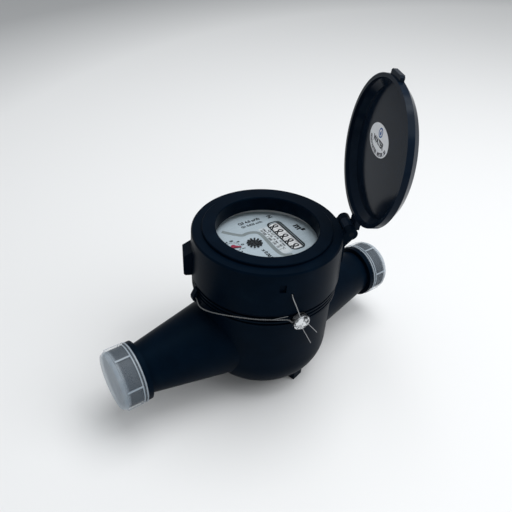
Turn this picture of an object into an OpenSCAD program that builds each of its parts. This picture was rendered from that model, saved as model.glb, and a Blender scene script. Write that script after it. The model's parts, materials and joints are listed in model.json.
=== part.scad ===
// Multi-jet dry-dial water meter with an open lid, thread caps and a seal wire.
// The pipe lies along X, +Z is up, and the origin is on the resting plane under the register axis.

/* [Pipe] */
// Length of the body between its two pipe ends
body_len = 195; // [185:1:230]
// Distance of the register's axis from the middle of the pipe
axis_shift = 2; // [0:0.5:5]
// Height of the pipe axis above the resting plane
axis_h = 34; // [33:0.5:36]
// Bore of each port
port_d = 20; // [16:0.5:21]
// Length of each port's straight bore
port_len = 26; // [24:1:30]
// Outside diameter of the pipe thread
thread_d = 33.2; // [32:0.1:34]
// Length of each thread
thread_len = 12; // [11:0.5:14]
// Diameter of the collar behind each thread
collar_d = 35; // [34.5:0.5:38]
// Width of the collar behind each thread
collar_w = 3; // [2:0.5:4]
// Diameter of the pipe at the collar
pipe_d = 29; // [28:0.5:33]
// Diameter of the pipe at the bowl
root_d = 52; // [48:0.5:54]
// Bore of the slanting throat between a port and its chamber
throat_d = 9; // [7:0.5:9]
// Slope of the throats
throat_slope = 14; // [12:1:16]

/* [Bowl] */
// Outside diameter of the bowl
bowl_d = 83; // [81:0.5:84]
// Radius of the bowl's rounded underside
bowl_arc = 24; // [20:0.5:26]
// Wall of the bowl
bowl_wall = 4; // [3:0.25:4.5]
// Gap under the bowl's flat base, which the feet span
base_gap = 3; // [2:0.5:4]
// Thickness of the bowl's floor
floor_t = 5; // [4:0.5:6]
// Diameter of the ridged collar under the head ring
ridge_d = 86.5; // [85.5:0.25:87.5]
// Height of the ridged collar
ridge_h = 10; // [8:0.5:12]
// Number of grooves round that collar
groove_count = 3; // [1:1:4]
// Number of feet
foot_count = 3; // [3:1:4]
// Turn of the first foot from the pipe's downstream end
foot_turn = 44; // [30:1:60]
// Width of each foot
foot_w = 8; // [5:0.5:12]
// Reach of the feet from the axis
foot_r = 33; // [30:0.5:34]

/* [Head ring] */
// Height of the ring's top face
ring_top = 102.5; // [101:0.5:105]
// Height of the ring's lower edge
ring_bottom = 74; // [73:0.5:75]
// Diameter of the ring at its top
ring_d = 86; // [85:0.25:87]
// Diameter of the ring at its lower edge
ring_low_d = 88; // [87:0.25:89]
// Diameter of the raised land inside the lid's seat
land_d = 74; // [72:0.5:76]
// Depth of the lid's seat below the land
seat_drop = 1.8; // [1:0.1:2.5]
// Diameter of the sight hole
sight_d = 59; // [56:0.5:60]
// Thickness of the ring over the glass
ring_roof = 9; // [8:0.5:10]
// Diameter of the body's neck thread, which the ring screws onto
neck_d = 76; // [75.5:0.1:76.6]
// Turn of the hinge from the pipe's downstream end
hinge_turn = -27; // [-60:1:30]
// Width of the catch opposite the hinge
catch_w = 12; // [10:0.5:18]
// Reach of the catch from the ring
catch_reach = 5; // [4:0.5:7]
// Height of the catch
catch_h = 16; // [12:0.5:18]

/* [Lid] */
// Opening angle of the lid from closed
lid_open = 95; // [90:1:110]
// Outside diameter of the lid
lid_d = 80.5; // [80:0.25:82]
// Depth of the dish under the lid's plate
skirt_h = 6; // [5:0.5:9]
// Thickness of the lid's rim
skirt_t = 2.2; // [1.6:0.1:2.4]
// Height of the rim's upright part, from which the dish slopes inwards
rim_h = 2.4; // [2.2:0.1:3]
// Diameter of the flat panel in the dish
panel_d = 71; // [60:0.5:72]
// Thickness of the lid's plate
plate_t = 1.6; // [1.4:0.1:4]
// Width of the lid's finger tab
tab_w = 12; // [10:0.5:20]
// Reach of the finger tab past the skirt
tab_reach = 2.6; // [2:0.2:4]
// Diameter of the hinge pin
pin_d = 3; // [2:0.25:3.5]
// Length of the lid's hinge knuckle
knuckle_w = 8; // [6:0.5:16]
// Width of each ear that holds the pin
ear_w = 4.5; // [4:0.5:7]

/* [Thread caps] */
// Wall of a thread cap
cap_wall = 0.8; // [0.7:0.1:1.4]
// Thickness of a cap's end
cap_end_t = 1.4; // [1:0.1:3]
// Number of grip ribs round a cap
cap_ribs = 6; // [4:1:16]
// Height of a grip rib
rib_h = 0.4; // [0.3:0.1:0.8]

/* [Measuring unit] */
// Outside diameter of the measuring chamber
chamber_d = 52; // [50:0.5:52.5]
// Wall of the measuring chamber
chamber_wall = 2; // [1.6:0.1:2.4]
// Wall of the strainer round the measuring chamber
strainer_t = 1.2; // [0.8:0.1:1.4]
// Diameter of the impeller
impeller_d = 42; // [38:0.5:44]
// Number of impeller vanes
vane_count = 9; // [6:1:12]
// Number of jets in each row
jet_count = 10; // [6:1:12]
// Diameter of the two coupling magnets
magnet_d = 11; // [9:0.5:11.5]

/* [Register] */
// Turn of the dial's upper side from the pipe's downstream end
dial_turn = -4; // [-45:1:45]
// Outside diameter of the register cup
cup_d = 69.4; // [68.8:0.1:69.6]
// Wall of the register cup
cup_wall = 1.5; // [1.2:0.1:2]
// Thickness of the glass
glass_t = 2; // [1.6:0.1:3]
// Gap between the dial and the glass
dial_gap = 1.2; // [1:0.1:2.5]
// Diameter of a number drum
drum_d = 12; // [10:0.25:12.5]
// Width of a number drum
drum_w = 5.1; // [4.5:0.1:5.2]
// Spacing of the number drums
drum_pitch = 5.45; // [5.3:0.05:5.8]
// Place of the drum row's middle across the dial
drum_u = -1.5; // [-3:0.1:2]
// Place of the drum row up the dial
drum_v = 14.5; // [13:0.1:16]
// Place of the flow star across the dial
star_u = -2.6; // [-3:0.1:-2.2]
// Place of the flow star up the dial
star_v = -6.3; // [-7:0.1:-6.2]
// Diameter of the flow star
star_d = 9.2; // [6:0.2:11]
// Number of rays of the flow star
star_rays = 12; // [6:1:14]
// Place of the pointer across the dial
pointer_u = -5; // [-6:0.1:-4]
// Place of the pointer up the dial
pointer_v = -19; // [-19.6:0.1:-18]
// Length of the pointer
pointer_len = 4.6; // [3:0.1:5]
// Teeth of the two small pinions
pinion_teeth = 10; // [10:1:11]
// Teeth of the flow star's wheel
star_teeth = 18; // [16:1:22]
// Teeth of the pointer's wheel
pointer_teeth = 31; // [26:1:34]

/* [Seal] */
// Diameter of the seal wire
wire_d = 0.8; // [0.6:0.1:1.2]
// Diameter of the thin strand through the ring
strand_d = 0.6; // [0.4:0.1:0.8]
// Diameter of the crimped seal
seal_d = 9.5; // [8:0.5:11]
// Thickness of the crimped seal
seal_t = 3.6; // [3:0.2:5]

/* [Hidden] */
$fn = 96;

// Clearances and the overshoot of cuts
run_gap = 0.06;
slip_gap = 0.3;
thread_gap = 0.5;
cut = 1;

// Bowl and its hollow
bowl_r = bowl_d / 2;
floor_z = base_gap + floor_t;
web_top = axis_h + 1;
web_t = 3;
chamber_r = chamber_d / 2;
strainer_r = chamber_r + slip_gap + strainer_t;
web_hole_r = strainer_r + slip_gap;
upper_r = bowl_r - 10.5;
ledge_z = web_top + 23;
cup_r = cup_d / 2;
cup_bore_r = cup_r + slip_gap;
ridge_z = ring_bottom - ridge_h;
neck_top = ring_bottom + 8;

// Pipe stations from the register's axis; the first reach is the outlet's, the second the inlet's
root_x = 26;
reach = [body_len / 2 - axis_shift, body_len / 2 + axis_shift];
pipe_end_bevel = 1;

// Measuring unit
flange_r = upper_r - slip_gap;
flange_t = 2;
chamber_z = floor_z + 1;
chamber_top = web_top + 15;
cover_t = 3;
imp_z = chamber_z + 5;
pivot_r = 0.8;
pivot_tip = imp_z + 5;
bush_r = 1.7;
bush_h = 7;
spindle_r = 3;
carrier_z = chamber_top + cover_t + 0.8;
carrier_h = 4;
magnet_h = 3;
magnet_bore_r = 3.2;

// Register stack
seal_sec = 2.5;
plate_z = ledge_z + seal_sec;
pressure_t = 3.5;
cup_z = plate_z + pressure_t;
cup_in_r = cup_r - cup_wall;
dial_seat = 1;
gasket_t = 0.5;
roof_z = ring_top - ring_roof;
glass_top = roof_z - gasket_t;
glass_z = glass_top - glass_t;
dial_t = 0.5;
dial_top = glass_z - dial_gap;
cup_floor = cup_z + cup_wall;
follower_z = cup_floor + 0.7;
pinion_z = follower_z + magnet_h + 0.6;
pinion_h = 2;
wheel_h = 1.6;
upper_pinion_z = pinion_z + pinion_h + 0.5;
train_z = upper_pinion_z + pinion_h + 0.8;
train_t = 1.2;
train_r = cup_in_r - dial_seat - slip_gap;
post_r = 2;
post_at = train_r - 3.5;
shaft_r = 0.75;
axle_r = 1;
drum_count = 5;
drum_z = dial_top - 0.2 - drum_d / 2;
drum_row = (drum_count - 1) * drum_pitch + drum_w;
cheek_t = 2;
cheek_at = drum_row / 2 + 0.5;
window_w = 8;
star_z = dial_top + 0.3;
star_t = 0.5;

// Gear train: modules follow from the centre distances
star_dist = norm([star_u, star_v]);
star_mod = 2 * star_dist / (pinion_teeth + star_teeth);
star_dir = atan2(star_v, star_u);
pointer_dist = norm([pointer_u - star_u, pointer_v - star_v]);
pointer_mod = 2 * pointer_dist / (pinion_teeth + pointer_teeth);
pointer_dir = atan2(pointer_v - star_v, pointer_u - star_u);
press_angle = 25;
backlash = 0.06;

// Hinge and lid
pin_r = pin_d / 2;
knuckle_r = pin_r + 2.2;
hinge_r = ring_d / 2 + slip_gap + knuckle_r;
hinge_z = ring_top - 3.5;
seat_z = ring_top - seat_drop;
lid_r = lid_d / 2;
lid_z = seat_z + slip_gap;
lid_top = lid_z + skirt_h + plate_t;

// Seal lug on the body
lug_turn = 172;
lug_z = ridge_z + 1;
lug_reach = 3.5;
lug_hole_r = wire_d / 2 + 0.5;
lug_hole_at = ridge_d / 2 + lug_reach - 1.8;

// Where the seal hangs, and the ring's hole for its thin strand
seal_turn = 259;
seal_z = 69;
seal_at = ring_low_d / 2 + 0.4 + seal_t / 2;
wire_at = ring_low_d / 2 + wire_d / 2 + 0.15;
strand_turn = 252;
strand_z = ring_bottom + 13;
notch_turn = 245;
notch_w = 3.6;

// Thread caps
cap_gap = 0.15;
cap_bore = thread_d + 2 * cap_gap;
cap_od = cap_bore + 2 * cap_wall;
cap_bevel = 2.5;
rib_w = 1;
rib_turn = 10;

// Turns what is drawn on the dial, with x across and y up the dial, into place.
module on_dial() rotate([0, 0, dial_turn - 90]) children();

// Turns what is drawn with the hinge on +X into place.
module on_ring() rotate([0, 0, hinge_turn]) children();

// Opens what is drawn with the lid closed.
module opened()
    translate([hinge_r, 0, hinge_z]) rotate([0, lid_open, 0]) translate([-hinge_r, 0, -hinge_z]) children();

// A round bar along X from x0 to x1
module bar_x(x0, x1, d0, d1)
    translate([x0, 0, 0]) rotate([0, 90, 0]) cylinder(h = x1 - x0, d1 = d0, d2 = d1);

// A flat ring
module ring(ro, ri, h) difference() {
    cylinder(r = ro, h = h);
    translate([0, 0, -cut]) cylinder(r = ri, h = h + 2 * cut);
}

// A point of an involute that starts at radius rb, unrolled by t degrees
function involute(rb, t) = rb * [cos(t) + t * PI / 180 * sin(t), sin(t) - t * PI / 180 * cos(t)];
function turned(p, a) = [p[0] * cos(a) - p[1] * sin(a), p[0] * sin(a) + p[1] * cos(a)];
function inv_angle(a) = tan(a) * 180 / PI - a;

// Outline of one involute tooth, counterclockwise from its root
function tooth(m, n) = let (
        rp = m * n / 2, rb = rp * cos(press_angle), ra = rp + 0.8 * m, rr = rp - m,
        half = 90 / n + inv_angle(press_angle) - backlash / rp * 180 / PI,
        t1 = sqrt(pow(ra / rb, 2) - 1) * 180 / PI,
        flank = [for (i = [0:4]) turned(involute(rb, t1 * i / 4), -half)])
    concat([rr * [cos(-half), sin(-half)]], flank, [for (i = [4:-1:0]) [flank[i][0], -flank[i][1]]],
        [rr * [cos(half), sin(half)]]);

// A spur gear with the middle of one tooth at angle phase
module gear(m, n, h, phase) linear_extrude(h)
    polygon([for (k = [0:n - 1]) for (p = tooth(m, n)) turned(p, phase + 360 * k / n)]);

// The bowl's solid shape between two heights, drawn in by inset
module bowl_shape(inset, z0, z1) rotate_extrude() intersection() {
    union() {
        translate([bowl_r - bowl_arc, base_gap + bowl_arc]) circle(r = bowl_arc - inset);
        translate([0, base_gap + inset]) square([bowl_r - bowl_arc, bowl_arc]);
        translate([0, base_gap + bowl_arc]) square([bowl_r - inset, ring_top]);
    }
    translate([0, z0]) square([bowl_r + cut, z1 - z0]);
}

// Moulded body: bowl, two tapered pipes, threaded neck and feet, hollowed for the measuring unit
module meter_body() color("#10151d") difference() {
    union() {
        bowl_shape(0, base_gap, ridge_z + 1);
        translate([0, 0, ridge_z]) cylinder(d = ridge_d, h = ridge_h - slip_gap);
        translate([0, 0, ridge_z]) cylinder(d = neck_d, h = neck_top - ridge_z);
        for (end = [0, 1]) mirror([end, 0, 0]) translate([0, 0, axis_h]) pipe(reach[end]);
        for (k = [0:foot_count - 1]) rotate([0, 0, foot_turn + 360 * k / foot_count]) foot();
        wire_lug();
    }
    for (k = [1:groove_count]) translate([0, 0, ridge_z + k * ridge_h / (groove_count + 1) - 0.7])
        ring(ridge_d / 2 + cut, neck_d / 2 + 2, 1.4);
    bowl_shape(bowl_wall, floor_z, web_top - web_t);
    translate([0, 0, floor_z]) cylinder(r = web_hole_r, h = ledge_z - floor_z);
    translate([0, 0, web_top]) cylinder(r = upper_r, h = ledge_z - web_top + cut);
    translate([0, 0, ledge_z]) cylinder(r = cup_bore_r, h = neck_top - ledge_z + cut);
    for (end = [0, 1]) mirror([end, 0, 0]) translate([0, 0, axis_h])
        bar_x(reach[end] - port_len, reach[end] + cut, port_d, port_d);
    throat(0, reach[0] - port_len, -1);
    throat(180, reach[1] - port_len, 1);
    wire_lug_hole();
}

// One pipe with its collar and thread, drawn along +X to its end at x1
module pipe(x1) {
    thread_x = x1 - thread_len;
    bar_x(root_x, thread_x - collar_w + 0.5, root_d, pipe_d);
    bar_x(thread_x - collar_w, thread_x, collar_d, collar_d);
    bar_x(thread_x, x1 - pipe_end_bevel, thread_d, thread_d);
    bar_x(x1 - pipe_end_bevel, x1, thread_d, thread_d - 2 * pipe_end_bevel);
}

// One foot: a rib that runs out from the middle of the base
module foot() translate([0, -foot_w / 2, 0]) cube([foot_r, foot_w, base_gap + bowl_arc / 2]);

// Slanting throat from beside the axis of a port that ends at x0 into the hollow round the measuring
// unit; it falls for drop 1 and rises for drop -1
module throat(turn, x0, drop) rotate([0, 0, turn])
    translate([x0, 0, axis_h - drop * (throat_d / 2 / cos(throat_slope) + 0.4)])
        rotate([0, -90 - drop * throat_slope, 0]) translate([0, 0, -2])
            cylinder(d = throat_d, h = (x0 - upper_r + 3) / cos(throat_slope) + 2);

// Lug that the seal wire is threaded through, and its hole
module wire_lug() rotate([0, 0, lug_turn]) translate([ridge_d / 2 - 3, 0, lug_z]) rotate([90, 0, 0])
    linear_extrude(3.5, center = true)
        polygon([[0, -5], [3, -5], [3 + lug_reach, -1], [3 + lug_reach, 1], [3, 8], [0, 8]]);
module wire_lug_hole() rotate([0, 0, lug_turn]) translate([lug_hole_at, 0, lug_z])
    rotate([90, 0, 0]) cylinder(r = lug_hole_r, h = 8, center = true, $fn = 32);

// Strainer round the measuring chamber's lower jets
module strainer() color("#c9cdd2") difference() {
    translate([0, 0, floor_z]) ring(strainer_r, strainer_r - strainer_t, web_top - floor_z);
    for (row = [0:2]) for (k = [0:11]) rotate([0, 0, 30 * k + 15 * (row % 2)])
        translate([strainer_r - strainer_t - cut, -2, floor_z + 3 + 7 * row])
            cube([strainer_t + 2 * cut, 4, 5]);
}

// Measuring chamber with a lower and an upper row of slanting jets
module measuring_chamber() color("#dfe3e6") difference() {
    union() {
        translate([0, 0, chamber_z]) cylinder(r = chamber_r, h = chamber_top - chamber_z);
        translate([0, 0, web_top]) cylinder(r = flange_r, h = flange_t);
    }
    translate([0, 0, chamber_z + 2]) ring(chamber_r - chamber_wall, 4, chamber_top - chamber_z);
    translate([0, 0, chamber_z + 3.5]) cylinder(r = 5, h = chamber_top - chamber_z);
    translate([0, 0, chamber_z - cut]) cylinder(r = pivot_r, h = 10, $fn = 32);
    for (k = [0:jet_count - 1]) rotate([0, 0, 360 * k / jet_count]) {
        jet(chamber_z + 7, 9, 40);
        jet(web_top + flange_t + 3, 7, -40);
    }
}

// One jet opening, slanted from the radial direction
module jet(z, h, slant) translate([chamber_r - chamber_wall / 2, 0, z]) rotate([0, 0, slant])
    translate([-chamber_wall * 2, -1.5, 0]) cube([chamber_wall * 4, 3, h]);

// Cover of the measuring chamber with the bearing of the impeller's spindle
module chamber_cover() color("#eceef0") translate([0, 0, chamber_top]) difference() {
    union() {
        cylinder(r = chamber_r, h = cover_t);
        translate([0, 0, -1.5]) cylinder(r = chamber_r - chamber_wall - slip_gap, h = 2);
    }
    translate([0, 0, -2]) cylinder(r = spindle_r + run_gap, h = cover_t + 3);
    for (k = [0:5]) rotate([0, 0, 60 * k]) translate([chamber_r * 0.65, 0, -2])
        cylinder(r = 2, h = cover_t + 3, $fn = 32);
}

// Steel pin that carries the impeller
module impeller_pivot() color("#b8bcc2") translate([0, 0, chamber_z]) {
    cylinder(r = pivot_r, h = pivot_tip - chamber_z - 0.4, $fn = 32);
    translate([0, 0, pivot_tip - chamber_z - 0.4]) cylinder(r1 = pivot_r, r2 = 0.4, h = 0.4, $fn = 32);
}

// Impeller: hub, vanes, spindle and the carrier of the drive magnet
module impeller() color("#f0f1ee") difference() {
    union() {
        translate([0, 0, imp_z]) cylinder(r = 5, h = chamber_top - 3 - imp_z);
        translate([0, 0, imp_z]) cylinder(r = spindle_r, h = carrier_z - imp_z + 1);
        for (k = [0:vane_count - 1]) rotate([0, 0, 360 * k / vane_count])
            translate([3, -0.6, imp_z + 1]) cube([impeller_d / 2 - 3, 1.2, chamber_top - 6 - imp_z]);
        translate([0, 0, carrier_z]) cylinder(r = magnet_d / 2 + 1, h = carrier_h);
    }
    translate([0, 0, carrier_z + carrier_h - magnet_h]) ring(magnet_d / 2, magnet_bore_r, magnet_h + cut);
    translate([0, 0, imp_z - cut]) cylinder(r = bush_r, h = bush_h + cut, $fn = 48);
}

// Hard bush in the foot of the impeller, resting on the pivot's tip
module pivot_bush() color("#7d1f2a") translate([0, 0, imp_z]) difference() {
    cylinder(r = bush_r, h = bush_h, $fn = 48);
    translate([0, 0, -cut])
        cylinder(r = pivot_r + run_gap, h = pivot_tip - imp_z + run_gap + cut, $fn = 32);
}

// Magnet in the impeller's carrier
module drive_magnet() color("#3b3d42") translate([0, 0, carrier_z + carrier_h - magnet_h])
    ring(magnet_d / 2, magnet_bore_r, magnet_h);

// Sealing ring under the pressure plate
module plate_seal() color("#1c1c1e") translate([0, 0, ledge_z + seal_sec / 2]) rotate_extrude()
    translate([(upper_r + cup_bore_r) / 2, 0]) circle(d = seal_sec, $fn = 32);

// Plate that parts the wet side from the register
module pressure_plate() color("#9aa0a8") translate([0, 0, plate_z]) difference() {
    cylinder(r = cup_r, h = pressure_t);
    translate([0, 0, -cut]) cylinder(r = magnet_d / 2 + 3, h = cut + 1.5);
}

// Register cup with the posts of the train plate and the ledge of the dial
module register_cup() color("#b9bec6") {
    difference() {
        translate([0, 0, cup_z]) cylinder(r = cup_r, h = glass_z - cup_z);
        translate([0, 0, cup_floor]) cylinder(r = cup_in_r - dial_seat, h = glass_z - cup_floor + cut);
        translate([0, 0, dial_top - dial_t]) cylinder(r = cup_in_r, h = glass_z - dial_top + dial_t + cut);
    }
    for (k = [0:2]) on_dial() rotate([0, 0, 90 + 120 * k]) translate([post_at, 0, cup_floor - 0.5])
        cylinder(r = post_r, h = train_z - cup_floor + 0.5, $fn = 32);
}

// Magnet that follows the drive magnet through the pressure plate
module driven_magnet() color("#3b3d42")
    translate([0, 0, follower_z]) ring(magnet_d / 2, shaft_r + 0.5, magnet_h);

// A shaft that stands just above the cup's floor and ends at height z
module shaft(z) translate([0, 0, cup_floor + 0.2]) cylinder(r = shaft_r, h = z - cup_floor - 0.2, $fn = 32);

// Shaft of the driven magnet with the first pinion
module magnet_pinion() color("#e3c45a") on_dial() {
    shaft(train_z + train_t);
    translate([0, 0, follower_z - 0.2]) cylinder(r = shaft_r + 0.5, h = magnet_h + 0.4, $fn = 32);
    translate([0, 0, pinion_z]) gear(star_mod, pinion_teeth, pinion_h, star_dir);
}

// Shaft of the flow star with its wheel and the second pinion
module star_gear() color("#e8e8e4") on_dial() translate([star_u, star_v, 0]) {
    shaft(star_z + star_t);
    translate([0, 0, pinion_z + 0.2])
        gear(star_mod, star_teeth, wheel_h, star_dir + 180 - 180 / star_teeth);
    translate([0, 0, upper_pinion_z]) gear(pointer_mod, pinion_teeth, pinion_h, pointer_dir);
}

// Flow star above the dial
module flow_star() color("#17181a") on_dial() translate([star_u, star_v, star_z]) difference() {
    union() {
        cylinder(r = star_d * 0.26, h = star_t, $fn = 48);
        for (k = [0:star_rays - 1]) rotate([0, 0, 360 * k / star_rays]) linear_extrude(star_t)
            polygon([[star_d * 0.2, -star_d * 0.045], [star_d / 2, -star_d * 0.055],
                [star_d / 2, star_d * 0.055], [star_d * 0.2, star_d * 0.045]]);
    }
    translate([0, 0, -cut]) cylinder(r = shaft_r, h = star_t + 2 * cut, $fn = 32);
}

// Shaft of the pointer with its wheel
module pointer_gear() color("#e8e8e4") on_dial() translate([pointer_u, pointer_v, 0]) {
    shaft(star_z + star_t);
    translate([0, 0, upper_pinion_z + 0.2])
        gear(pointer_mod, pointer_teeth, wheel_h, pointer_dir + 180 - 180 / pointer_teeth);
}

// Red hand of the small dial
module pointer() color("#c8202a") on_dial() translate([pointer_u, pointer_v, star_z]) difference() {
    union() {
        cylinder(r = 1.4, h = star_t, $fn = 48);
        rotate([0, 0, 60]) linear_extrude(star_t)
            polygon([[0, -1.1], [pointer_len, -0.15], [pointer_len, 0.15], [0, 1.1]]);
    }
    translate([0, 0, -cut]) cylinder(r = shaft_r, h = star_t + 2 * cut, $fn = 32);
}

// Plate over the gear train, with the two cheeks of the number drums
module train_plate() color("#d5d8dc") on_dial() difference() {
    union() {
        translate([0, 0, train_z]) cylinder(r = train_r, h = train_t);
        for (s = [-1, 1])
            translate([drum_u + s * (cheek_at + cheek_t / 2) - cheek_t / 2, drum_v - 2.5, train_z])
                cube([cheek_t, 5, drum_z + 2.5 - train_z]);
    }
    translate([drum_u - cheek_at, drum_v - drum_d / 2 - slip_gap, train_z - cut])
        cube([2 * cheek_at, drum_d + 2 * slip_gap, train_t + 2 * cut]);
    translate([0, 0, train_z - cut]) cylinder(r = shaft_r + run_gap, h = train_t + 2 * cut, $fn = 32);
    for (p = [[star_u, star_v], [pointer_u, pointer_v]]) translate([p[0], p[1], train_z - cut])
        cylinder(r = shaft_r + run_gap, h = train_t + 2 * cut, $fn = 32);
    translate([drum_u, drum_v, drum_z])
        bar_x(-cheek_at - cheek_t - cut, cheek_at + cheek_t + cut, 2 * axle_r, 2 * axle_r);
}

// Axle of the number drums
module drum_axle() color("#b8bcc2") on_dial() translate([drum_u, drum_v, drum_z])
    bar_x(-cheek_at - cheek_t, cheek_at + cheek_t, 2 * axle_r, 2 * axle_r);

// One number drum; drum 0 is the left one
module drum(i) color("#f4f4f2") on_dial()
    translate([drum_u - drum_row / 2 + i * drum_pitch, drum_v, drum_z]) difference() {
        bar_x(0, drum_w, drum_d, drum_d);
        bar_x(-cut, drum_w + cut, 2 * (axle_r + run_gap), 2 * (axle_r + run_gap));
    }
module number_drum_1() drum(0);
module number_drum_2() drum(1);
module number_drum_3() drum(2);
module number_drum_4() drum(3);
module number_drum_5() drum(4);

// Dial plate with the window of the drums and the holes of the two shafts
module dial_plate() color("#d9dcdf") on_dial() translate([0, 0, dial_top - dial_t]) difference() {
    cylinder(r = cup_in_r - slip_gap / 2, h = dial_t);
    translate([drum_u - drum_row / 2 - slip_gap, drum_v - window_w / 2, -cut])
        cube([drum_row + 2 * slip_gap, window_w, dial_t + 2 * cut]);
    for (p = [[star_u, star_v], [pointer_u, pointer_v]]) translate([p[0], p[1], -cut])
        cylinder(r = shaft_r + 0.2, h = dial_t + 2 * cut, $fn = 32);
}

// Glass over the dial
module register_glass() color("#dfeef2", 0.35) translate([0, 0, glass_z]) cylinder(r = cup_r, h = glass_t);

// Soft ring between the glass and the head ring
module glass_gasket() color("#1c1c1e") translate([0, 0, glass_top]) ring(cup_r, sight_d / 2 + 1, gasket_t);

// Screwed head ring with the catch, the hinge ears and the seal hole
module head_ring() color("#12161d") on_ring() difference() {
    union() {
        rotate_extrude() polygon([[neck_d / 2 + thread_gap, ring_bottom], [ring_low_d / 2, ring_bottom],
            [ring_d / 2, seat_z - 1], [ring_d / 2 - 0.7, seat_z], [land_d / 2, seat_z],
            [land_d / 2, ring_top - 0.4], [land_d / 2 - 0.4, ring_top],
            [sight_d / 2 + 0.5, ring_top], [sight_d / 2, ring_top - 0.5],
            [sight_d / 2, roof_z], [cup_bore_r, roof_z], [cup_bore_r, neck_top + 0.5],
            [neck_d / 2 + thread_gap, neck_top + 0.5]]);
        ring_catch();
        for (s = [-1, 1]) translate([0, s * (knuckle_w / 2 + slip_gap + ear_w / 2), 0]) ear();
        translate([ring_d / 2 - 1, -knuckle_w / 4, ring_bottom])
            cube([5, knuckle_w / 2, hinge_z - 8 - ring_bottom]);
    }
    translate([hinge_r, 0, hinge_z]) rotate([90, 0, 0])
        cylinder(r = pin_r, h = 100, center = true, $fn = 48);
    rotate([0, 0, strand_turn - hinge_turn]) translate([ring_d / 2 - 3.5, 0, strand_z])
        rotate([0, 90, 0]) cylinder(r = strand_d / 2 + 0.5, h = 8, $fn = 32);
    rotate([0, 0, notch_turn - hinge_turn]) translate([ring_d / 2 - 1, -notch_w / 2, strand_z + 2])
        cube([5, notch_w, 5]);
}

// Catch opposite the hinge, with a top that slopes outwards
module ring_catch() rotate([0, 0, 180]) translate([ring_d / 2 - 1, 0, ring_bottom]) rotate([90, 0, 0])
    linear_extrude(catch_w, center = true) polygon([[0, 0], [catch_reach, 0], [1 + catch_reach, 1],
        [1 + catch_reach, catch_h - 3], [0, catch_h + 1]]);

// One ear that holds the hinge pin
module ear() translate([0, 0, hinge_z]) rotate([90, 0, 0]) {
    translate([hinge_r, 0, 0]) cylinder(r = knuckle_r, h = ear_w, center = true);
    linear_extrude(ear_w, center = true) polygon([[ring_d / 2 - 2, -12], [ring_d / 2 - 2, -1],
        [hinge_r, knuckle_r - 0.3], [hinge_r + knuckle_r - 0.5, 0], [hinge_r + 1, -knuckle_r + 0.3]]);
}

// Hinge pin
module hinge_pin() color("#b8bcc2") on_ring() translate([hinge_r, 0, hinge_z]) rotate([90, 0, 0])
    cylinder(r = pin_r, h = knuckle_w + 2 * (slip_gap + ear_w), center = true, $fn = 48);

// Lid: a dish with a flat panel, a finger tab and a hinge knuckle
module lid() color("#141920") on_ring() opened() difference() {
    union() {
        rotate_extrude() polygon([[0, lid_top], [panel_d / 2 + 0.8, lid_top], [lid_r, lid_z + rim_h + 1.2],
            [lid_r, lid_z], [lid_r - skirt_t, lid_z], [lid_r - skirt_t, lid_z + rim_h],
            [panel_d / 2, lid_z + skirt_h], [0, lid_z + skirt_h]]);
        translate([-lid_r, 0, lid_z + 0.8]) linear_extrude(2.5) polygon([[1.5, -tab_w / 2],
            [1 - tab_reach, -tab_w / 2], [-tab_reach, 1 - tab_w / 2], [-tab_reach, tab_w / 2 - 1],
            [1 - tab_reach, tab_w / 2], [1.5, tab_w / 2]]);
        translate([lid_r - skirt_t + 0.3, -knuckle_w / 2, lid_z + 0.6])
            cube([hinge_r - lid_r + skirt_t - 0.3, knuckle_w, 3.4]);
        translate([hinge_r, 0, hinge_z]) rotate([90, 0, 0])
            cylinder(r = knuckle_r, h = knuckle_w, center = true);
    }
    translate([hinge_r, 0, hinge_z]) rotate([90, 0, 0])
        cylinder(r = pin_r + run_gap, h = knuckle_w + 2, center = true, $fn = 48);
}

// Push-on thread cap, drawn over a thread on +X that ends at x1
module thread_cap(x1) translate([0, 0, axis_h]) {
    x0 = x1 - thread_len + slip_gap;
    x2 = x1 + slip_gap + cap_end_t;
    difference() {
        union() {
            bar_x(x0, x2 - cap_bevel, cap_od, cap_od);
            bar_x(x2 - cap_bevel, x2, cap_od, cap_od - 2 * cap_end_t);
            bar_x(x0, x0 + 0.8, cap_od + 2 * rib_h, cap_od + 2 * rib_h);
            bar_x(x0 + 1.8, x0 + 2.5, cap_od + rib_h, cap_od + rib_h);
            for (k = [0:cap_ribs - 1]) rotate([rib_turn + 360 * k / cap_ribs, 0, 0])
                translate([x0 + 2, -rib_w / 2, cap_od / 2 - 0.3])
                    cube([x2 - x0 - 2 - cap_bevel, rib_w, 0.3 + rib_h]);
        }
        bar_x(x0 - cut, x1 + slip_gap, cap_bore, cap_bore);
    }
}
module inlet_cap() color("#e9edf0", 0.8) mirror([1, 0, 0]) thread_cap(reach[1]);
module outlet_cap() color("#e9edf0", 0.8) thread_cap(reach[0]);

// A point at angle a round the axis, radius r and height z
function at(a, r, z) = [r * cos(a), r * sin(a), z];

// A smooth run through the points p, with n steps between each two
function spline(p, n) = [for (i = [0:len(p) - 2]) for (k = [0:n - (i == len(p) - 2 ? 0 : 1)])
    let (t = k / n, a = p[max(i - 1, 0)], b = p[i], c = p[i + 1], d = p[min(i + 2, len(p) - 1)])
    0.5 * (2 * b + (c - a) * t + (2 * a - 5 * b + 4 * c - d) * t * t
        + (3 * b - a - 3 * c + d) * t * t * t)];

function unit(v) = v / norm(v);

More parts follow.
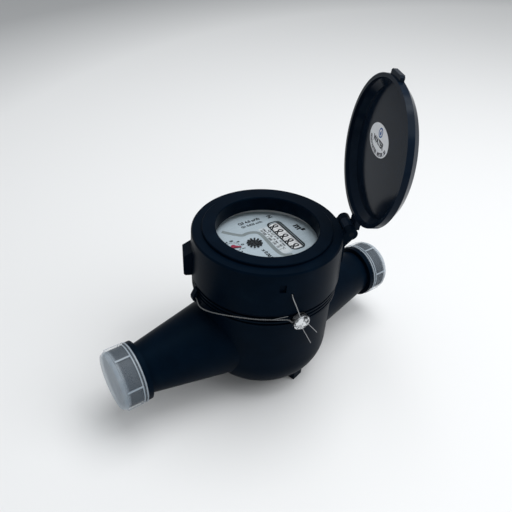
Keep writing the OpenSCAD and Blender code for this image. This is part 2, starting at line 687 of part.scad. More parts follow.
// A round tube along the points p
module tube(p, r, ref) {
    n = 8;
    last = len(p) - 1;
    rings = [for (i = [0:last])
        let (t = unit(p[min(i + 1, last)] - p[max(i - 1, 0)]), s = unit(cross(t, ref)), u = cross(s, t))
        for (k = [0:n - 1]) p[i] + r * (cos(360 * k / n) * s + sin(360 * k / n) * u)];
    sides = [for (i = [0:last - 1]) for (k = [0:n - 1])
        [i * n + k, (i + 1) * n + k, (i + 1) * n + (k + 1) % n, i * n + (k + 1) % n]];
    polyhedron(rings, concat([[for (k = [0:n - 1]) k]], sides, [[for (k = [n - 1:-1:0]) last * n + k]]));
}

// Seal wire from the lug on the body, round the front under the ring's lower edge to the seal
module seal_wire() color("#c9ccd0") tube(spline([at(lug_turn - 5, lug_hole_at, lug_z),
    at(lug_turn - 2, lug_hole_at, lug_z), at(lug_turn + 3, lug_hole_at, lug_z),
    at(lug_turn + 9, ridge_d / 2 + 2.2, lug_z - 1.6), at(lug_turn + 17, wire_at + 0.6, lug_z - 0.5),
    at(200, wire_at + 0.3, 67.5), at(212, wire_at, 70), at(228, wire_at, 71.5), at(242, wire_at, 71.5),
    at(250, wire_at + 0.3, 70.8), at(seal_turn - 6, seal_at, seal_z + 0.8), at(seal_turn, seal_at, seal_z)],
    4), wire_d / 2, [0, 0, 1]);

// Thin strand from the seal up through the hole in the ring
module seal_strand() color("#c9ccd0") tube(spline([at(seal_turn, seal_at, seal_z + 1),
    at(seal_turn - 2, seal_at, seal_z + 6), at(seal_turn - 4, ring_d / 2 + 1.6, strand_z - 7),
    at(strand_turn + 0.5, ring_d / 2 + 1.2, strand_z - 2), at(strand_turn, ring_d / 2, strand_z),
    at(strand_turn, ring_d / 2 - 2, strand_z)], 4), strand_d / 2, at(strand_turn + 90, 1, 0));

// Crimped seal on the wire
module crimp_seal() color("#d8dade") rotate([0, 0, seal_turn]) translate([seal_at - seal_t / 2, 0, seal_z])
    rotate([0, 90, 0]) difference() {
        cylinder(d = seal_d, h = seal_t, $fn = 64);
        translate([0, 0, seal_t - 0.4]) ring(seal_d, seal_d / 2 - 0.7, 1);
    }

meter_body();
strainer();
measuring_chamber();
chamber_cover();
impeller_pivot();
impeller();
pivot_bush();
drive_magnet();
plate_seal();
pressure_plate();
register_cup();
driven_magnet();
magnet_pinion();
star_gear();
flow_star();
pointer_gear();
pointer();
train_plate();
drum_axle();
number_drum_1();
number_drum_2();
number_drum_3();
number_drum_4();
number_drum_5();
dial_plate();
register_glass();
glass_gasket();
head_ring();
hinge_pin();
lid();
inlet_cap();
outlet_cap();
seal_wire();
seal_strand();
crimp_seal();
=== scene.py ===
import bpy
import bmesh
import json
from math import radians, sin, cos, atan2, pi
from mathutils import Matrix, Vector


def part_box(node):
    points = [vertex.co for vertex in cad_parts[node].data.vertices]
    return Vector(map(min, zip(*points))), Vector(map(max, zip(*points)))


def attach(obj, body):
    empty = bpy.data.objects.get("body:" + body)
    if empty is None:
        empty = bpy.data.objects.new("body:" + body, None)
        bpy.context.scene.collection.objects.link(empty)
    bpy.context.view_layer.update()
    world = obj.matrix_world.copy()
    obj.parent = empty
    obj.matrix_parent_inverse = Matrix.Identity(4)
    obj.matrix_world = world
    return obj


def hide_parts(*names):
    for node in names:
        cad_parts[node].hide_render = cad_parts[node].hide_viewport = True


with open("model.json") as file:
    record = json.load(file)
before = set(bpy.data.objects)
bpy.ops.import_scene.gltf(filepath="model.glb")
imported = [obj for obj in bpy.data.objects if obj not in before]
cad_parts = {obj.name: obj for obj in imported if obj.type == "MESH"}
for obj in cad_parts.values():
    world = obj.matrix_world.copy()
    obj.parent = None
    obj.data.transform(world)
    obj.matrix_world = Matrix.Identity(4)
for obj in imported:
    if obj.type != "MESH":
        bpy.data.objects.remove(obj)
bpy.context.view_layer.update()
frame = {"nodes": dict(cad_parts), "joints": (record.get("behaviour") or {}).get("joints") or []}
nodes = frame["nodes"]
joints = {joint["name"]: joint for joint in frame["joints"]}
mm = 0.001

# Body: the bowl, the two tapered pipes and the neck are one injection moulding in a
# navy-black glass-filled plastic. The mould leaves a fine grain and a satin sheen, and
# handling leaves faint scuffs.
cloud_scale, sheen_scale = 90.0, 45.0
grain_depth, grain_strength = 0.06 * mm, 0.35


def node_material(name, colour, roughness, specular=0.5):
    """A principled material with object coordinates ready for a pattern."""
    mat = bpy.data.materials.new(name)
    mat.use_nodes = True
    tree = mat.node_tree
    bsdf = tree.nodes["Principled BSDF"]
    bsdf.inputs["Base Color"].default_value = (*colour, 1.0)
    bsdf.inputs["Roughness"].default_value = roughness
    bsdf.inputs["Specular IOR Level"].default_value = specular
    coords = tree.nodes.new("ShaderNodeTexCoord")
    return mat, tree, bsdf, coords.outputs["Object"]


def noise(tree, coords, scale, detail=4.0, roughness=0.55):
    """A cloudy value from 0 to 1."""
    tex = tree.nodes.new("ShaderNodeTexNoise")
    tex.inputs["Scale"].default_value = scale
    tex.inputs["Detail"].default_value = detail
    tex.inputs["Roughness"].default_value = roughness
    tree.links.new(coords, tex.inputs["Vector"])
    return tex.outputs["Fac"]


def ramp(tree, value, stops):
    """Colours along a value, given as pairs of place and colour."""
    node = tree.nodes.new("ShaderNodeValToRGB")
    elements = node.color_ramp.elements
    while len(elements) < len(stops):
        elements.new(0.5)
    for element, (place, colour) in zip(elements, stops):
        element.position = place
        element.color = (*colour, 1.0)
    tree.links.new(value, node.inputs["Fac"])
    return node.outputs["Color"]


def spread(tree, value, low, high, start=0.0, end=1.0):
    """Maps a value that runs from start to end onto low to high."""
    node = tree.nodes.new("ShaderNodeMapRange")
    node.inputs["From Min"].default_value = start
    node.inputs["From Max"].default_value = end
    node.inputs["To Min"].default_value = low
    node.inputs["To Max"].default_value = high
    tree.links.new(value, node.inputs["Value"])
    return node.outputs["Result"]


def bump(tree, bsdf, height, distance, strength=0.4):
    """Relief of a given depth from a height value."""
    node = tree.nodes.new("ShaderNodeBump")
    node.inputs["Distance"].default_value = distance
    node.inputs["Strength"].default_value = strength
    tree.links.new(height, node.inputs["Height"])
    tree.links.new(node.outputs["Normal"], bsdf.inputs["Normal"])


def moulded_plastic(name, colour, scuff, roughness, grain=1400.0, specular=0.35, tint=(1, 1, 1)):
    """Satin plastic: fine mould grain, cloudy sheen and a few scuffs."""
    mat, tree, bsdf, coords = node_material(name, colour, roughness, specular)
    bsdf.inputs["Specular Tint"].default_value = (*tint, 1.0)
    shade = tuple(c * 0.75 for c in colour)
    tones = [(0.3, shade), (0.62, colour), (0.8, scuff)]
    tree.links.new(ramp(tree, noise(tree, coords, cloud_scale), tones), bsdf.inputs["Base Color"])
    sheen = noise(tree, coords, sheen_scale, 3.0)
    sheen = spread(tree, sheen, roughness - 0.08, roughness + 0.1)
    tree.links.new(sheen, bsdf.inputs["Roughness"])
    bump(tree, bsdf, noise(tree, coords, grain, 2.0), grain_depth, grain_strength)
    return mat


def dress(material, *names):
    """Gives CAD nodes their finish."""
    for name in names:
        slots = nodes[name].data.materials
        slots.clear()
        slots.append(material)


navy, navy_scuff = (0.0011, 0.0044, 0.0105), (0.002, 0.006, 0.012)
navy_specular = 0.025
# Painted reflection: the blue specular tint colours the plastic's sheen as if a blue sky were
# mirrored in it.
painted_sky_tint = (0.4, 0.72, 1.0)
body_plastic = moulded_plastic("body_plastic", navy, navy_scuff,
                               roughness=0.42, specular=navy_specular, tint=painted_sky_tint)
dress(body_plastic, "meter_body")

# Strainer, measuring chamber, cover and impeller: pale moulded pieces inside the bowl,
# dropped in from the neck. They are natural polymer, slightly waxy.
pale_polymer = moulded_plastic("pale_polymer", (0.72, 0.74, 0.75), (0.78, 0.79, 0.8),
                               roughness=0.45)
dress(pale_polymer, "measuring_chamber", "chamber_cover", "impeller", "strainer")

# Small turned pieces: the impeller's pivot and the drums' axle are drawn stainless wire, cut to
# length and pressed in. The hinge pin is blackened, so its ends do not show in the ring's ears.
tool_mark_depth, tool_mark_strength = 0.02 * mm, 0.3
stain_scale = 260.0


def turned_steel(name, colour, roughness, marks_scale=900.0):
    """Machined metal with fine tool marks."""
    mat, tree, bsdf, coords = node_material(name, colour, roughness)
    bsdf.inputs["Metallic"].default_value = 1.0
    marks = noise(tree, coords, marks_scale, 3.0)
    gloss = spread(tree, marks, roughness - 0.07, roughness + 0.1)
    tree.links.new(gloss, bsdf.inputs["Roughness"])
    dark = tuple(c * 0.8 for c in colour)
    stain = noise(tree, coords, stain_scale)
    tree.links.new(ramp(tree, stain, [(0.3, dark), (0.7, colour)]), bsdf.inputs["Base Color"])
    bump(tree, bsdf, marks, tool_mark_depth, tool_mark_strength)
    return mat


pin_steel = turned_steel("pin_steel", (0.55, 0.56, 0.58), roughness=0.3)
dress(pin_steel, "impeller_pivot", "drum_axle")
black_steel = turned_steel("black_steel", (0.006, 0.009, 0.014), roughness=0.5)
dress(black_steel, "hinge_pin")

# Bush and magnets: a hard red bush in the impeller's foot, and two dark sintered rings
# that turn together through the plate between them.
bush_red = moulded_plastic("bush_red", (0.3, 0.03, 0.05), (0.36, 0.05, 0.07), roughness=0.25)
dress(bush_red, "pivot_bush")
sintered = moulded_plastic("sintered_magnet", (0.06, 0.06, 0.065), (0.1, 0.1, 0.1),
                           roughness=0.55, grain=2200.0)
dress(sintered, "drive_magnet", "driven_magnet")

# Seals: black rubber rings, one under the pressure plate to hold the water back and one over
# the glass to keep the dial dry.
seal_rubber = moulded_plastic("seal_rubber", (0.012, 0.012, 0.013), (0.03, 0.03, 0.03),
                              roughness=0.7)
dress(seal_rubber, "plate_seal", "glass_gasket")

# Pressure plate and register cup: moulded pieces that keep the water out of the dial, the plate
# in grey and the cup in the pale polymer of the chamber.
grey_polymer = moulded_plastic("grey_polymer", (0.38, 0.4, 0.43), (0.46, 0.48, 0.5), roughness=0.45)
dress(grey_polymer, "pressure_plate")
dress(pale_polymer, "register_cup")

# Gear train: an ivory acetal pinion on the magnet and a grey frame plate under the dial. The two
# wheels beside the pinion are dressed with the star and the pointer, whose shafts they carry.
acetal = moulded_plastic("acetal", (0.68, 0.66, 0.58), (0.74, 0.72, 0.66), roughness=0.35)
dress(acetal, "magnet_pinion")
dress(grey_polymer, "train_plate")

# Number drums: five white drums with hot-stamped black figures round their rims.
# Each drum carries the figures 0 to 9, and all of them stand at 0.
drum_white = moulded_plastic("drum_white", (0.84, 0.86, 0.88), (0.88, 0.9, 0.91), roughness=0.4)
stamp_black = moulded_plastic("stamp_black", (0.005, 0.006, 0.008), (0.01, 0.011, 0.013),
                              roughness=0.5, specular=0.08)
dial_turn = radians(-94.0)
on_dial = Matrix.Rotation(dial_turn, 4, "Z")
drum_axis = Vector(joints["drum_1_spin"]["pos_m"])
drum_low, drum_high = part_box("number_drum_1")
drum_radius = (drum_high[2] - drum_low[2]) / 2
drum_count, drum_pitch = 5, 5.45 * mm
figure_count, figure_height = 10, 3.5 * mm
figure_stretch, figure_weight = 1.2, 0.06
stamp_depth, stamp_sink = 0.05 * mm, 0.02 * mm
capital_share = 0.7
weld_distance = 1e-6


def text_mesh(name, words, height, stretch=1.0, weight=0.0):
    """Flat lettering as a mesh, centred on the origin, x along the line; weight fattens it."""
    curve = bpy.data.curves.new(name, "FONT")
    curve.body = words
    curve.align_x = "CENTER"
    curve.align_y = "CENTER"
    curve.size = height / capital_share
    curve.resolution_u = 4
    curve.offset = weight * height
    holder = bpy.data.objects.new(name, curve)
    bpy.context.scene.collection.objects.link(holder)
    bpy.context.view_layer.update()
    shown = holder.evaluated_get(bpy.context.evaluated_depsgraph_get())
    mesh = bpy.data.meshes.new_from_object(shown)
    bpy.data.objects.remove(holder)
    bpy.data.curves.remove(curve)
    bm = bmesh.new()
    bm.from_mesh(mesh)
    bpy.data.meshes.remove(mesh)
    bmesh.ops.remove_doubles(bm, verts=bm.verts, dist=weld_distance)
    bmesh.ops.scale(bm, vec=(stretch, 1, 1), verts=bm.verts)
    xs = [v.co.x for v in bm.verts]
    ys = [v.co.y for v in bm.verts]
    middle = Vector(((min(xs) + max(xs)) / 2, (min(ys) + max(ys)) / 2, 0))
    bmesh.ops.translate(bm, vec=-middle, verts=bm.verts)
    return bm


def thicken(bm, depth):
    """Turns flat faces to look along +Z and raises them by a small depth."""
    for face in bm.faces:
        if face.normal.z < 0:
            face.normal_flip()
    grown = bmesh.ops.extrude_face_region(bm, geom=list(bm.faces))
    raised = [g for g in grown["geom"] if isinstance(g, bmesh.types.BMVert)]
    bmesh.ops.translate(bm, vec=(0, 0, depth), verts=raised)
    bmesh.ops.recalc_face_normals(bm, faces=bm.faces)


def piece(name, bm, material, body):
    """Makes a mesh object of a finished bmesh and lets it ride on a body."""
    mesh = bpy.data.meshes.new(name)
    bm.to_mesh(mesh)
    bm.free()
    mesh.materials.append(material)
    obj = bpy.data.objects.new(name, mesh)
    bpy.context.scene.collection.objects.link(obj)
    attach(obj, body)
    return obj


def gather(target, bm):
    """Adds one bmesh to another."""
    mesh = bpy.data.meshes.new("gathered")
    bm.to_mesh(mesh)
    bm.free()
    target.from_mesh(mesh)
    bpy.data.meshes.remove(mesh)


for place in range(drum_count):
    dress(drum_white, f"number_drum_{place + 1}")
    across = (place - (drum_count - 1) / 2) * drum_pitch
    ring = bmesh.new()
    for figure in range(figure_count):
        bm = text_mesh("figure", str(figure), figure_height, figure_stretch, figure_weight)
        thicken(bm, stamp_depth)
        for v in bm.verts:
            angle = v.co.y / drum_radius + figure * 2 * pi / figure_count
            reach = drum_radius - stamp_sink + v.co.z
            v.co = Vector((across + v.co.x, reach * sin(angle), reach * cos(angle)))
        gather(ring, bm)
    bmesh.ops.transform(ring, matrix=Matrix.Translation(drum_axis) @ on_dial, verts=ring.verts)
    bmesh.ops.recalc_face_normals(ring, faces=ring.faces)
    stamped = piece(f"drum_figures_{place + 1}", ring, stamp_black, f"drum_{place + 1}")

# Dial: a printed aluminium plate, silver white with a soft brushed sheen. The print is black,
# with a frame round the drums, the unit above them and small rows below, and a scale round the
# small pointer.
silver, tree, bsdf, coords = node_material("dial_silver", (0.42, 0.49, 0.54), roughness=0.5)
brushed = tree.nodes.new("ShaderNodeMapping")
brushed.inputs["Scale"].default_value = (60.0, 1600.0, 60.0)
tree.links.new(coords, brushed.inputs["Vector"])
brush = noise(tree, brushed.outputs["Vector"], 1.0, 3.0)
silver_tones = [(0.3, (0.35, 0.43, 0.485)), (0.7, (0.4, 0.48, 0.535))]
tree.links.new(ramp(tree, brush, silver_tones), bsdf.inputs["Base Color"])
tree.links.new(spread(tree, brush, 0.42, 0.58), bsdf.inputs["Roughness"])
dress(silver, "dial_plate")

print_black = moulded_plastic("print_black", (0.004, 0.005, 0.007), (0.008, 0.009, 0.011),
                              roughness=0.5, specular=0.08)
dial_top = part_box("dial_plate")[1][2]
print_depth, print_lift = 0.03 * mm, 0.01 * mm
fine, medium, bold = 0.04, 0.06, 0.07


def dial_place(joint):
    """Where a joint's axis crosses the dial, across and up it."""
    return (on_dial.inverted() @ Vector(joints[joint]["pos_m"])).xy


def printed(target, words, height, place, turn=0.0, weight=fine):
    """Adds flat words, centred on a place and turned."""
    bm = text_mesh("print", words, height, 1.0, weight)
    where = Matrix.Translation((*place, 0)) @ Matrix.Rotation(turn, 4, "Z")
    bmesh.ops.transform(bm, matrix=where, verts=bm.verts)
    gather(target, bm)


def flat_strip(target, corners):
    """A flat printed patch through corner points."""
    bm = bmesh.new()
    bm.faces.new([bm.verts.new((u, v, 0)) for u, v in corners])
    gather(target, bm)


def stroke(target, start, end, width):
    """A straight printed line."""
    run = (end - start).normalized()
    side = Vector((-run.y, run.x)) * width / 2
    flat_strip(target, [start - side, end - side, end + side, start + side])


def lay_on_dial(name, bm, material, lift):
    """Thickens flat shapes and lays them on the dial."""
    bmesh.ops.triangulate(bm, faces=bm.faces)
    thicken(bm, print_depth)
    place = Matrix.Translation((0, 0, dial_top + lift)) @ on_dial
    bmesh.ops.transform(bm, matrix=place, verts=bm.verts)
    piece(name, bm, material, "meter")


dial_print = bmesh.new()
drum_place = dial_place("drum_1_spin")
row_half = drum_count / 2 * drum_pitch
window_half = 4.0 * mm
frame_gap, frame_line = 0.6 * mm, 1.0 * mm
corner_radius, corner_steps = 3.0 * mm, 6
corner_u = row_half + frame_gap + frame_line / 2 - corner_radius
corner_v = window_half + frame_line / 2 - corner_radius
outline = []
for quarter, (across, upward) in enumerate([(1, 1), (-1, 1), (-1, -1), (1, -1)]):
    centre = drum_place + Vector((across * corner_u, upward * corner_v))
    for step in range(corner_steps + 1):
        angle = (quarter + step / corner_steps) * pi / 2
        outline.append(centre + Vector((cos(angle), sin(angle))) * corner_radius)
for start, end in zip(outline, outline[1:] + outline[:1]):
    stroke(dial_print, start, end, frame_line)

# words, height and place in millimetres, turn, weight
by_the_drums = [("m³", 4.6, (-2.5, 11.6)), ("H", 3.0, (-21.0, 1.9))]
for words, height, offset in by_the_drums:
    printed(dial_print, words, height * mm, drum_place + Vector(offset) * mm, weight=bold)
on_the_plate = [("Q3 4.0 m³/h", 2.1, (-23.4, 2.2), pi / 2, bold),
                ("Q1 0.025 m³/h", 1.7, (-19.8, 2.2), pi / 2, medium),
                ("x 0.001 m³", 2.1, (11.0, -5.0), 0.0, bold)]
for words, height, place, turn, weight in on_the_plate:
    printed(dial_print, words, height * mm, Vector(place) * mm, turn, weight)
rows = ("Qn 2.5 m³/h  20 mm", "max 5 m³/h  16 bar  50 °C", "10 000  1 000  100  10  1")
row_drop, row_pitch, row_height = 6.3 * mm, 2.1 * mm, 1.5 * mm
for row, words in enumerate(rows):
    printed(dial_print, words, row_height, drum_place - Vector((0, row_drop + row_pitch * row)))

pointer_place = dial_place("pointer_spin")
scale_count, scale_height, scale_reach = 10, 1.9 * mm, 6.0 * mm
tick_count, tick_width = 50, 0.26 * mm
tick_start, tick_end, long_tick_end = 4.0 * mm, 4.5 * mm, 4.9 * mm
for figure in range(scale_count):
    angle = pi / 2 - figure * 2 * pi / scale_count
    place = pointer_place + Vector((cos(angle), sin(angle))) * scale_reach
    printed(dial_print, str(figure), scale_height, place, weight=bold)
for tick in range(tick_count):
    angle = tick * 2 * pi / tick_count
    ray = Vector((cos(angle), sin(angle)))
    reach = long_tick_end if tick % (tick_count // scale_count) == 0 else tick_end
    stroke(dial_print, pointer_place + ray * tick_start, pointer_place + ray * reach, tick_width)
lay_on_dial("dial_print", dial_print, print_black, print_lift)

# Grey band across the dial, printed under the black: it comes in from the left past the flow star
# and runs below the drums to the right, one smooth line of even width.
band_grey = moulded_plastic("band_grey", (0.2, 0.24, 0.25), (0.23, 0.27, 0.28), roughness=0.5)
band_points = [(-21.5, -17.4), (-16.2, -12.7), (-12.9, -8.7), (-13.2, -4.8), (-12.2, -0.7),
               (-9.4, 1.6), (-2.8, 1.7), (5.7, 1.2), (12.2, 1.7), (15.1, 3.8), (16.1, 7.4)]
band_half, band_lift = 1.25 * mm, -0.01 * mm
band_steps = 6


def smooth_run(points, steps):
    """Points on a smooth curve through the given ones."""
    ends = [points[0]] + points + [points[-1]]
    run = []
    for a, b, c, d in zip(ends, ends[1:], ends[2:], ends[3:]):
        for step in range(steps):
            t = step / steps
            run.append(0.5 * (2 * b + (c - a) * t + (2 * a - 5 * b + 4 * c - d) * t ** 2
                              + (3 * b - a - 3 * c + d) * t ** 3))
    return run + [points[-1]]


def neighbours(points):
    """Each point with the ones before and after it; the ends stand in for what is missing."""
    return zip([points[0]] + points, points, points[1:] + [points[-1]])


band = bmesh.new()
edges = []
band_middle = smooth_run([Vector(point) * mm for point in band_points], band_steps)
for before, here, after in neighbours(band_middle):
    run = (after - before).normalized()
    side = Vector((-run.y, run.x)) * band_half
    edges.append([band.verts.new((*(here - side), 0)), band.verts.new((*(here + side), 0))])
for (low_a, high_a), (low_b, high_b) in zip(edges, edges[1:]):
    band.faces.new((low_a, low_b, high_b, high_a))
lay_on_dial("dial_band", band, band_grey, band_lift)

# White table under the drums, which carries the small rows of figures. It is printed before the
# band and the black, so it lies lowest.
table_white = moulded_plastic("table_white", (0.6, 0.66, 0.7), (0.63, 0.69, 0.73), roughness=0.5)
table_lift = -0.015 * mm
table_top, table_foot = drum_place.y - 5.2 * mm, drum_place.y - 11.6 * mm
table = bmesh.new()
flat_strip(table, [(-row_half, table_foot), (row_half, table_foot),
                   (row_half, table_top), (-row_half, table_top)])
lay_on_dial("dial_table", table, table_white, table_lift)

# Flow star and pointer: glossy moulded pieces pushed onto their shafts above the dial. Each
# shares its colour with its wheel and shaft, so the shaft's end does not show.
star_gloss = moulded_plastic("star_gloss", (0.004, 0.004, 0.005), (0.008, 0.008, 0.009),
                             roughness=0.4, specular=0.08)
dress(star_gloss, "flow_star", "star_gear")
pointer_red = moulded_plastic("pointer_red", (0.33, 0.012, 0.05), (0.38, 0.02, 0.06),
                              roughness=0.35, specular=0.15)
dress(pointer_red, "pointer", "pointer_gear")

# Glass: a flat clear disc over the dial, nearly colourless, with a faint haze of handling that
# makes its sheen uneven.
clear, tree, bsdf, coords = node_material("clear_glass", (0.3, 0.36, 0.4), roughness=0.05)
bsdf.inputs["Alpha"].default_value = 0.025
tree.links.new(spread(tree, noise(tree, coords, 120.0), 0.03, 0.09), bsdf.inputs["Roughness"])
dress(clear, "register_glass")

# Head ring: the same navy-black plastic as the body, screwed over the neck. It is handled more
# than the rest, so it is a little smoother.
# Its blue specular tint is the same painted sky reflection as on the body.
ring_plastic = moulded_plastic("ring_plastic", navy, (0.002, 0.007, 0.014),
                               roughness=0.36, specular=navy_specular, tint=painted_sky_tint)
dress(ring_plastic, "head_ring")

# Lid: a thin moulding in the same plastic with a glossy inner panel and an oval paper label,
# printed with a blue drop in a ring and a few plain words.
# Painted reflection: the lid's base colour is lighter and bluer than the body's navy, and its sheen
# is tinted blue. Both stand in for the reflection on the glossy panel.
lid_plastic_painted_reflection = moulded_plastic("lid_plastic_painted_reflection", (0.005, 0.0105, 0.021), (0.008, 0.016, 0.03),
                              roughness=0.12, specular=0.055, tint=(0.8, 0.92, 1.0))
dress(lid_plastic_painted_reflection, "lid")
hinge_at = Vector(joints["lid_hinge"]["pos_m"])
hinge_turn = atan2(hinge_at.y, hinge_at.x)
hinge_reach = hinge_at.xy.length
lid_open = radians(95.0)
closed_to_open = (Matrix.Rotation(hinge_turn, 4, "Z")
                  @ Matrix.Translation((hinge_reach, 0, hinge_at.z))
                  @ Matrix.Rotation(lid_open, 4, "Y") @ Matrix.Translation((-hinge_reach, 0, 0)))
paper, tree, bsdf, coords = node_material("label_paper", (0.82, 0.84, 0.88), roughness=0.5)
fibre = noise(tree, coords, 700.0)
paper_tones = [(0.3, (0.8, 0.82, 0.86)), (0.7, (0.86, 0.88, 0.91))]
tree.links.new(ramp(tree, fibre, paper_tones), bsdf.inputs["Base Color"])
bump(tree, bsdf, fibre, 0.03 * mm)
label_ink = moulded_plastic("label_ink", (0.012, 0.014, 0.03), (0.03, 0.03, 0.05), roughness=0.5)
label_blue = moulded_plastic("label_blue", (0.01, 0.09, 0.32), (0.02, 0.12, 0.38), roughness=0.5)
panel_rise = 8.0 * mm
label_half = Vector((13.5, 8.4)) * mm
label_depth, label_sides = 0.1 * mm, 96
label_place = Vector((-3.5, 8.25, 0)) * mm


def lay_on_panel(name, bm, depth, lift, material):
    """Thickens flat shapes and lays them upright on the lid's panel, facing out of the dish."""
    bmesh.ops.triangulate(bm, faces=bm.faces)
    thicken(bm, depth)
    place = closed_to_open @ Matrix.Translation(label_place + Vector((0, 0, panel_rise - lift)))
    upright = Matrix.Rotation(pi, 4, "Y") @ Matrix.Rotation(-pi / 2, 4, "Z")
    bmesh.ops.transform(bm, matrix=place @ upright, verts=bm.verts)
    piece(name, bm, material, "lid")


oval = bmesh.new()
bmesh.ops.create_circle(oval, cap_ends=True, segments=label_sides, radius=1.0)
bmesh.ops.scale(oval, vec=(*label_half, 1), verts=oval.verts)
lay_on_panel("lid_label", oval, label_depth, 0.0, paper)

label_print = bmesh.new()
printed(label_print, "WATER", 3.0 * mm, Vector((0, -1.0)) * mm, weight=bold)
arc_words, arc_height = "COLD WATER METER 20", 1.9 * mm
arc_start, arc_span, arc_share = 195, 150, 0.82
for place, letter in enumerate(arc_words):
    angle = radians(arc_start + arc_span * place / (len(arc_words) - 1))
    ray = Vector((cos(angle) * label_half.x, sin(angle) * label_half.y)) * arc_share
    slope = atan2(cos(angle) * label_half.y, -sin(angle) * label_half.x)
    if letter != " ":
        printed(label_print, letter, arc_height, ray, slope, bold)
print_place = label_depth - print_lift
lay_on_panel("label_print", label_print, print_depth, print_place, label_ink)

label_mark = bmesh.new()
mark_place = Vector((0, 4.2)) * mm
mark_radius, mark_line, mark_sides = 2.3 * mm, 0.8 * mm, 32
mark_turns = [2 * pi * side / mark_sides for side in range(mark_sides + 1)]
circle = [mark_place + Vector((sin(turn), cos(turn))) * mark_radius for turn in mark_turns]
for start, end in zip(circle, circle[1:]):
    stroke(label_mark, start, end, mark_line)
drop_tip, drop_radius, drop_sink = 1.5 * mm, 1.0 * mm, 0.4 * mm
drop = [mark_place + Vector((0, drop_tip))]
for turn in range(110, -111, -20):
    round_off = Vector((sin(radians(turn)), -cos(radians(turn)))) * drop_radius
    drop.append(mark_place + round_off - Vector((0, drop_sink)))
flat_strip(label_mark, drop)
lay_on_panel("label_mark", label_mark, print_depth, print_place, label_blue)

# Thread caps: soft translucent polyethylene pushed over the threads. The thin wall is clear enough
# to show the dark thread, and the thick end, the beads and the ribs are milky white.
milky, tree, bsdf, coords = node_material("milky_polyethylene", (0.42, 0.5, 0.58), roughness=0.34)
cloud = noise(tree, coords, 160.0)
milk_tones = [(0.3, (0.38, 0.46, 0.54)), (0.7, (0.48, 0.55, 0.62))]
tree.links.new(ramp(tree, cloud, milk_tones), bsdf.inputs["Base Color"])
tree.links.new(spread(tree, cloud, 0.28, 0.42), bsdf.inputs["Roughness"])
bump(tree, bsdf, noise(tree, coords, 900.0, 2.0), 0.01 * mm, 0.2)
inlet_low, inlet_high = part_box("inlet_cap")
outlet_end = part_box("outlet_cap")[1][0]
cap_middle = ((inlet_low[0] + outlet_end) / 2, 0, (inlet_low[2] + inlet_high[2]) / 2)
pipe_half = (outlet_end - inlet_low[0]) / 2
cap_radius = 17.55 * mm
bead_start, bead_full = cap_radius + 0.02 * mm, cap_radius + 0.2 * mm
end_start, end_full = pipe_half - 4.0 * mm, pipe_half - 1.2 * mm
wall_alpha, bead_alpha, end_alpha = 0.1, 0.55, 0.48


def distance_from(tree, coords, middle, keep):
    """Distance of a point from a middle, counted only along the kept axes."""
    centred = tree.nodes.new("ShaderNodeVectorMath")
    centred.operation = "SUBTRACT"
    centred.inputs[1].default_value = middle
    tree.links.new(coords, centred.inputs[0])
    kept = tree.nodes.new("ShaderNodeVectorMath")
    kept.operation = "MULTIPLY"
    kept.inputs[1].default_value = keep
    tree.links.new(centred.outputs["Vector"], kept.inputs[0])
    length = tree.nodes.new("ShaderNodeVectorMath")
    length.operation = "LENGTH"
    tree.links.new(kept.outputs["Vector"], length.inputs[0])
    return length.outputs["Value"]


from_axis = distance_from(tree, coords, cap_middle, (0, 1, 1))
from_middle = distance_from(tree, coords, cap_middle, (1, 0, 0))
beads = spread(tree, from_axis, wall_alpha, bead_alpha, bead_start, bead_full)
ends = spread(tree, from_middle, wall_alpha, end_alpha, end_start, end_full)
opacity = tree.nodes.new("ShaderNodeMath")
opacity.operation = "MAXIMUM"
tree.links.new(beads, opacity.inputs[0])
tree.links.new(ends, opacity.inputs[1])
tree.links.new(opacity.outputs["Value"], bsdf.inputs["Alpha"])
dress(milky, "inlet_cap", "outlet_cap")

# Seal wire: two fine tinned strands twisted together, from the lug round the front to the seal.
# Two cut ends stand out below the seal, and one short end springs off the twist.
tinned = turned_steel("tinned_wire", (0.34, 0.35, 0.36), roughness=0.3, marks_scale=2400.0)
strand_radius, strand_sides = 0.2 * mm, 6
twist_pitch, twist_steps = 2.6 * mm, 32


def round_the_ring(turn, reach, height):
    """A point from its angle in degrees, and its distance from the register's axis and height
    in millimetres."""
    return Vector((reach * cos(radians(turn)), reach * sin(radians(turn)), height)) * mm


def squares(points):
    """Each point of a run with two directions that stand square to the run there."""
    for before, here, after in neighbours(points):
        run = (after - before).normalized()
        side = run.cross(Vector((0, 0, 1))).normalized()
        yield here, side, side.cross(run)


def swept(points, radius, sides):
    """A closed round tube along points."""
    bm = bmesh.new()
    turns = [2 * pi * k / sides for k in range(sides)]
    rings = []
    for here, side, over in squares(points):
        rim = [here + (side * cos(turn) + over * sin(turn)) * radius for turn in turns]
        rings.append([bm.verts.new(point) for point in rim])
    for low, high in zip(rings, rings[1:]):
        for k in range(sides):
            bm.faces.new((low[k], low[k - 1], high[k - 1], high[k]))
    bm.faces.new(rings[0])
    bm.faces.new(rings[-1])
    bmesh.ops.recalc_face_normals(bm, faces=bm.faces)
    return bm


def twisted(points, start):
    """The run of one strand that winds round the middle line."""
    strand = []
    gone = 0.0
    last = points[0]
    for here, side, over in squares(points):
        gone += (here - last).length
        last = here
        angle = start + 2 * pi * gone / twist_pitch
        strand.append(here + (side * cos(angle) + over * sin(angle)) * strand_radius)
    return strand


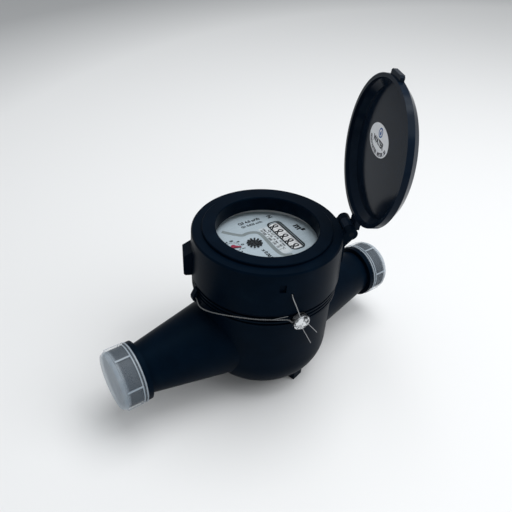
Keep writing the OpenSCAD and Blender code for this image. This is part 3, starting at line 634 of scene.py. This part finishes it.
wire_route = [(167, 44.95, 65.0), (170, 44.95, 65.0), (175, 44.95, 65.0), (181, 45.45, 63.4),
              (189, 45.15, 64.5), (200, 44.85, 67.5), (212, 44.55, 70.0), (228, 44.55, 71.5),
              (242, 44.55, 71.5), (250, 44.85, 70.8), (253, 46.2, 69.8), (259, 46.2, 69.0)]
cut_ends = [((259, 46.2, 66.5), (269.6, 47.0, 49.0)), ((262, 46.3, 68.8), (273.2, 47.7, 56.3)),
            ((238, 44.75, 71.6), (249.5, 45.6, 74.2))]
wire_middle = smooth_run([round_the_ring(*point) for point in wire_route], twist_steps)
twist = bmesh.new()
for start in (0.0, pi):
    gather(twist, swept(twisted(wire_middle, start), strand_radius, strand_sides))
for start, end in cut_ends:
    run = [round_the_ring(*start), round_the_ring(*end)]
    gather(twist, swept(run, strand_radius, strand_sides))
twist_piece = piece("seal_twist", twist, tinned, "meter")
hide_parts("seal_wire")
dress(tinned, "seal_strand")

# Seal: a bright metal disc pressed shut by the sealing pliers, which leave a rough print. Its
# hollows are painted dark as painted shade.
crimped, tree, bsdf, coords = node_material("crimped_metal", (0.5, 0.52, 0.54), roughness=0.3)
bsdf.inputs["Metallic"].default_value = 1.0
press = noise(tree, coords, 420.0, 2.0)
# Painted shade: the noise that sinks the print also darkens the base colour in its hollows.
press_shade_tones = [(0.4, (0.06, 0.065, 0.07)), (0.58, (0.7, 0.72, 0.74))]
tree.links.new(ramp(tree, press, press_shade_tones), bsdf.inputs["Base Color"])
tree.links.new(spread(tree, press, 0.2, 0.4), bsdf.inputs["Roughness"])
bump(tree, bsdf, press, 0.4 * mm, 0.8)
dress(crimped, "crimp_seal")

# Room: a pale sweep under two soft lights, one overhead and one from the right. Far behind, on the
# left, the sweep is painted darker to grey, a painted falloff of the light.
near_tone, painted_shade_tone = (0.752, 0.761, 0.77), (0.424, 0.434, 0.445)
floor_half = 3.0
painted_light_centre, fall_start, fall_end = (0.6, -0.3, 0), 1.0, 1.3
floor_paint, tree, bsdf, coords = node_material("floor_paint", near_tone, roughness=0.6)
# Painted shade: the floor colour darkens with distance from a centre, standing in for the light
# falling off.
painted_falloff = distance_from(tree, coords, painted_light_centre, (1, 1, 0))
painted_falloff = spread(tree, painted_falloff, 0.0, 1.0, fall_start, fall_end)
tree.links.new(ramp(tree, painted_falloff, [(0.0, near_tone), (1.0, painted_shade_tone)]), bsdf.inputs["Base Color"])
floor = bmesh.new()
bmesh.ops.create_grid(floor, x_segments=1, y_segments=1, size=floor_half)
floor_mesh = bpy.data.meshes.new("floor")
floor.to_mesh(floor_mesh)
floor.free()
floor_mesh.materials.append(floor_paint)
floor_obj = bpy.data.objects.new("floor", floor_mesh)
bpy.context.scene.collection.objects.link(floor_obj)

world = bpy.data.worlds.new("studio")
bpy.context.scene.world = world
world.use_nodes = True
world.node_tree.nodes["Background"].inputs["Color"].default_value = (0.97, 0.99, 1.0, 1.0)
world.node_tree.nodes["Background"].inputs["Strength"].default_value = 0.5
light_aim = Vector((0, 0, 0.06))


def softbox(name, place, size, power):
    """A round soft light that looks at the meter."""
    lamp = bpy.data.lights.new(name, "AREA")
    lamp.shape = "DISK"
    lamp.size = size
    lamp.energy = power
    obj = bpy.data.objects.new(name, lamp)
    bpy.context.scene.collection.objects.link(obj)
    obj.location = place
    obj.rotation_euler = (light_aim - Vector(place)).to_track_quat("-Z", "Y").to_euler()


softbox("key", (0.22, 0.02, 1.0), size=0.8, power=6.4)
softbox("fill", (0.5, -0.5, 0.8), size=0.8, power=4.0)

# Camera: a short lens from the upper left front, as the photograph was taken. Its place and its
# three directions are fitted to the photograph.
camera_place = Vector((-157.4, -195.1, 270.7)) * mm
right = Vector((0.8129, -0.5805, 0.0484))
up = Vector((0.3211, 0.5161, 0.7941))
back = -Vector((0.4859, 0.6299, -0.6059))
directions = Matrix((right, up, back)).transposed().to_4x4()
lens = bpy.data.cameras.new("camera")
lens.sensor_width = 36.0
lens.lens = 37.68
lens.clip_start = 0.01
camera = bpy.data.objects.new("camera", lens)
bpy.context.scene.collection.objects.link(camera)
camera.matrix_world = Matrix.Translation(camera_place) @ directions
bpy.context.scene.camera = camera
bpy.context.scene.view_settings.view_transform = "Standard"
